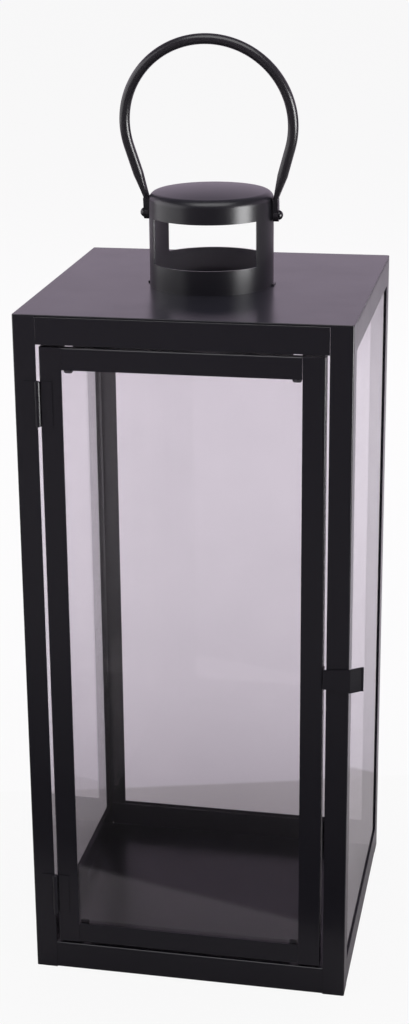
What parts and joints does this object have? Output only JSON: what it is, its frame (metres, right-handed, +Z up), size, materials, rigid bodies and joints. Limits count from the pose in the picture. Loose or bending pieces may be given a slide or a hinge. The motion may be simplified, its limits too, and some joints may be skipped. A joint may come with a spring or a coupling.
{
  "type": "candle lantern",
  "caption": "Square sheet-metal candle lantern with clear glass panes, a hinged glass door with a spring catch, a vent chimney under a domed cap and a swinging carrying handle.",
  "frame": {"origin": "centre of the base, on the surface that the lantern stands on", "axes": "+Z up, -Y towards the door, +X towards the catch side"},
  "size_m": [0.2292, 0.2239, 0.6442],
  "materials": {
    "painted_steel": "black powder coat on sheet steel, satin with a fine orange-peel texture",
    "painted_fittings": "black powder coat on hinges, pins, rivets and catch, slightly worn on edges",
    "clear_glass": "clear float glass, 3 mm, polished faces and faintly green cut edges"
  },
  "bodies": {
    "root": {"floor_tray": "painted_steel", "corner_post_front_left": "painted_steel", "corner_post_front_right": "painted_steel", "corner_post_back_left": "painted_steel", "corner_post_back_right": "painted_steel", "bottom_rail_front": "painted_steel", "top_rail_front": "painted_steel", "bottom_rail_back": "painted_steel", "top_rail_back": "painted_steel", "bottom_rail_left": "painted_steel", "top_rail_left": "painted_steel", "bottom_rail_right": "painted_steel", "top_rail_right": "painted_steel", "pane_holder_back": "painted_steel", "pane_holder_left": "painted_steel", "pane_holder_right": "painted_steel", "glass_back": "clear_glass", "glass_left": "clear_glass", "glass_right": "clear_glass", "lid": "painted_steel", "chimney_tube": "painted_steel", "chimney_cap": "painted_steel", "handle_rivet_left": "painted_fittings", "handle_rivet_right": "painted_fittings", "hinge_frame_leaf_upper": "painted_fittings", "hinge_frame_leaf_lower": "painted_fittings", "hinge_pin_upper": "painted_fittings", "hinge_pin_lower": "painted_fittings"},
    "door": {"door_stile_hinge_side": "painted_steel", "door_stile_catch_side": "painted_steel", "door_rail_top": "painted_steel", "door_rail_bottom": "painted_steel", "door_glass": "clear_glass", "hinge_door_leaf_upper": "painted_fittings", "hinge_door_leaf_lower": "painted_fittings", "door_catch": "painted_fittings"},
    "handle": {"carry_handle": "painted_steel"}
  },
  "joints": [
    {"name": "door_hinge", "type": "hinge", "parent": "root", "child": "door", "pos_m": [-0.09395, -0.11193, 0.2387], "axis": [0, 0, -1], "range_deg": [0, 180]},
    {"name": "handle_swing", "type": "hinge", "parent": "root", "child": "handle", "pos_m": [0, 0, 0.524], "axis": [1, 0, 0], "range_deg": [-119, 102.5]}
  ]
}
